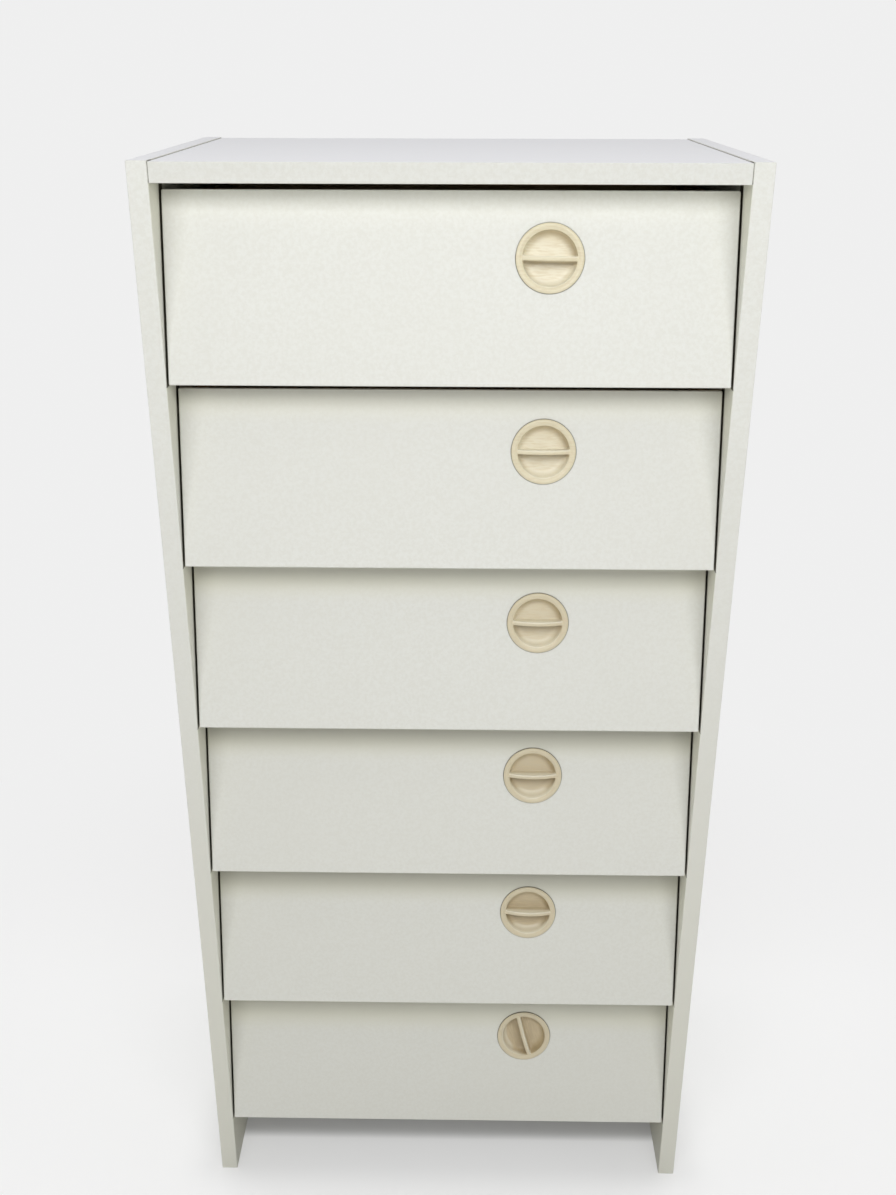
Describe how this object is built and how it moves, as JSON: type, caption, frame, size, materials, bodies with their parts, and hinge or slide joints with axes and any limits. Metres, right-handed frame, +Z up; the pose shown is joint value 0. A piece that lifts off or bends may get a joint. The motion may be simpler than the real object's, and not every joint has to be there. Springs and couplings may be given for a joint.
{
  "type": "chest of drawers",
  "caption": "Tall narrow free-standing chest of drawers with overhanging leaning fronts and round recessed pulls.",
  "frame": {"origin": "on the floor, in the middle of the chest's footprint", "axes": "+Z up, the drawer fronts face -Y, +X to the right seen from the front"},
  "size_m": [0.6, 0.38, 1.27],
  "materials": {
    "laminated_board": "off-white satin laminate on chipboard",
    "laminated_front": "off-white satin laminate on chipboard",
    "pull_plastic": "cream moulded plastic, satin",
    "drawer_wood": "clear-lacquered beech",
    "runner_wood": "waxed beech",
    "dowel_wood": "plain beech",
    "hardboard": "smooth brown hardboard",
    "pin_steel": "bright steel wire pins"
  },
  "bodies": {
    "carcass": {"side_left": "laminated_board", "side_right": "laminated_board", "top_panel": "laminated_board", "bottom_panel": "laminated_board", "back_panel": "hardboard", "carcass_dowels": "dowel_wood", "back_panel_pins": "pin_steel", "runner_left_1": "runner_wood", "runner_right_1": "runner_wood", "runner_left_2": "runner_wood", "runner_right_2": "runner_wood", "runner_left_3": "runner_wood", "runner_right_3": "runner_wood", "runner_left_4": "runner_wood", "runner_right_4": "runner_wood", "runner_left_5": "runner_wood", "runner_right_5": "runner_wood", "runner_left_6": "runner_wood", "runner_right_6": "runner_wood"},
    "drawer_1": {"drawer_1_front": "laminated_front", "drawer_1_side_left": "drawer_wood", "drawer_1_side_right": "drawer_wood", "drawer_1_back": "drawer_wood", "drawer_1_bottom": "hardboard", "drawer_1_pull": "pull_plastic"},
    "drawer_2": {"drawer_2_front": "laminated_front", "drawer_2_side_left": "drawer_wood", "drawer_2_side_right": "drawer_wood", "drawer_2_back": "drawer_wood", "drawer_2_bottom": "hardboard", "drawer_2_pull": "pull_plastic"},
    "drawer_3": {"drawer_3_front": "laminated_front", "drawer_3_side_left": "drawer_wood", "drawer_3_side_right": "drawer_wood", "drawer_3_back": "drawer_wood", "drawer_3_bottom": "hardboard", "drawer_3_pull": "pull_plastic"},
    "drawer_4": {"drawer_4_front": "laminated_front", "drawer_4_side_left": "drawer_wood", "drawer_4_side_right": "drawer_wood", "drawer_4_back": "drawer_wood", "drawer_4_bottom": "hardboard", "drawer_4_pull": "pull_plastic"},
    "drawer_5": {"drawer_5_front": "laminated_front", "drawer_5_side_left": "drawer_wood", "drawer_5_side_right": "drawer_wood", "drawer_5_back": "drawer_wood", "drawer_5_bottom": "hardboard", "drawer_5_pull": "pull_plastic"},
    "drawer_6": {"drawer_6_front": "laminated_front", "drawer_6_side_left": "drawer_wood", "drawer_6_side_right": "drawer_wood", "drawer_6_back": "drawer_wood", "drawer_6_bottom": "hardboard", "drawer_6_pull": "pull_plastic"}
  },
  "joints": [
    {"name": "drawer_1_slide", "type": "slide", "parent": "carcass", "child": "drawer_1", "axis": [0, -1, 0], "range_m": [0, 0.25]},
    {"name": "drawer_2_slide", "type": "slide", "parent": "carcass", "child": "drawer_2", "axis": [0, -1, 0], "range_m": [0, 0.25]},
    {"name": "drawer_3_slide", "type": "slide", "parent": "carcass", "child": "drawer_3", "axis": [0, -1, 0], "range_m": [0, 0.25]},
    {"name": "drawer_4_slide", "type": "slide", "parent": "carcass", "child": "drawer_4", "axis": [0, -1, 0], "range_m": [0, 0.25]},
    {"name": "drawer_5_slide", "type": "slide", "parent": "carcass", "child": "drawer_5", "axis": [0, -1, 0], "range_m": [0, 0.25]},
    {"name": "drawer_6_slide", "type": "slide", "parent": "carcass", "child": "drawer_6", "axis": [0, -1, 0], "range_m": [0, 0.25]}
  ]
}
